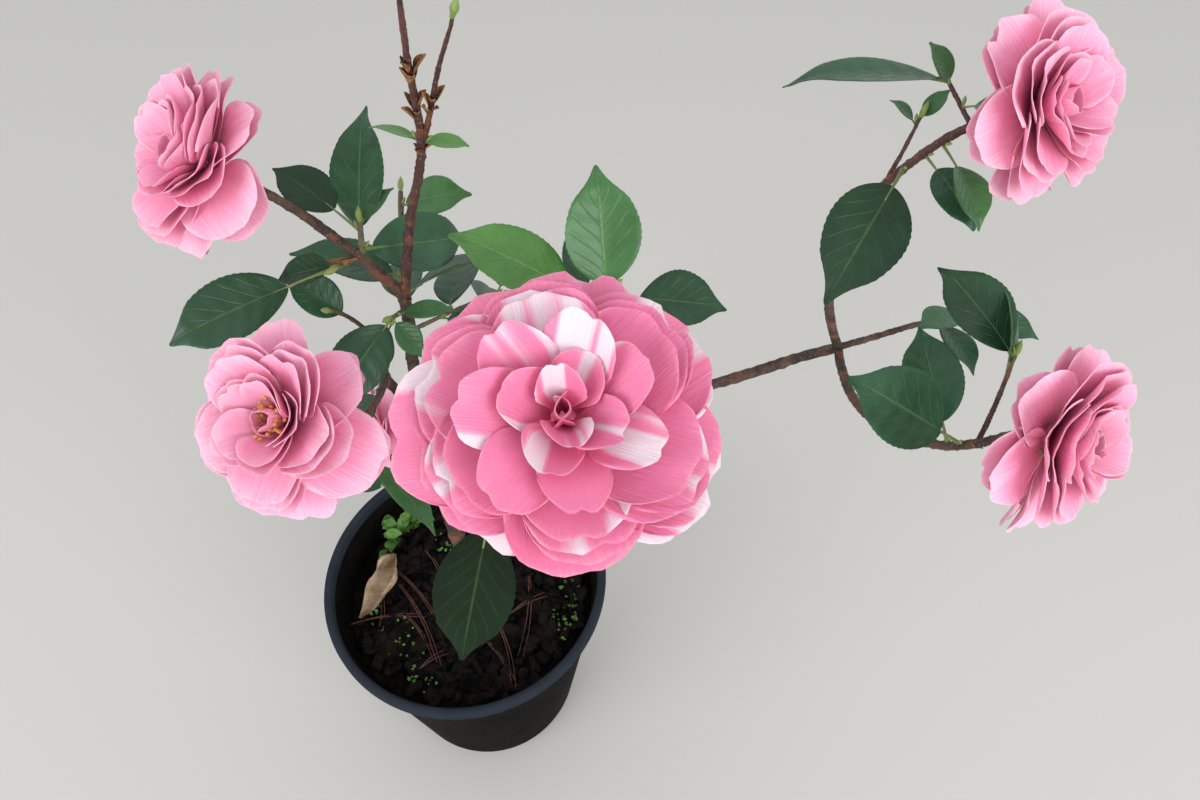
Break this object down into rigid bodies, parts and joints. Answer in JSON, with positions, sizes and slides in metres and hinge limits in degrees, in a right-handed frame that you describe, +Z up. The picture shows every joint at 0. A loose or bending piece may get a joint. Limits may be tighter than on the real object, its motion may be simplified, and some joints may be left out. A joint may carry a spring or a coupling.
{
  "type": "potted camellia shrub",
  "caption": "Young double-flowered camellia with open, slender boughs and glossy leaves, growing in a round black nursery pot.",
  "frame": {"origin": "centre of the pot's flat underside, on the surface that it stands on", "axes": "+Z up along the pot's axis; the picture's camera is on the -Y side and looks along +Y and down"},
  "size_m": [0.5825, 0.4151, 0.8835],
  "materials": {
    "pot": "satin black moulded plastic",
    "bark_mix": "damp composted bark",
    "bark": "grey-brown young bark, reddish on the shoots",
    "leaf": "glossy dark green leaf",
    "petal": "soft pink petal with white marks"
  },
  "bodies": {
    "root": {"pot": "pot", "potting_mix": "bark_mix", "trunk": "bark", "centre_bough": "bark", "left_bough": "bark", "sprout": "bark", "side_bough": "bark", "front_bough": "bark", "middle_bough": "bark", "back_bough": "bark", "right_bough": "bark", "right_upper_bough": "bark", "right_lower_bough": "bark", "right_mid_bough": "bark", "upper_left_spray": "petal", "sprout_twigs": "leaf", "left_spray": "petal", "front_spray": "petal", "middle_spray": "leaf", "back_spray": "leaf", "right_upper_spray": "petal", "right_lower_spray": "petal", "right_mid_spray": "leaf", "left_node_spray": "leaf", "left_side_spray": "leaf", "centre_spray": "leaf", "low_spray": "petal", "inner_right_spray": "leaf", "outer_right_spray": "leaf", "inner_back_spray": "leaf", "inner_left_spray": "leaf", "low_front_spray": "leaf", "low_back_spray": "leaf"}
  },
  "joints": []
}
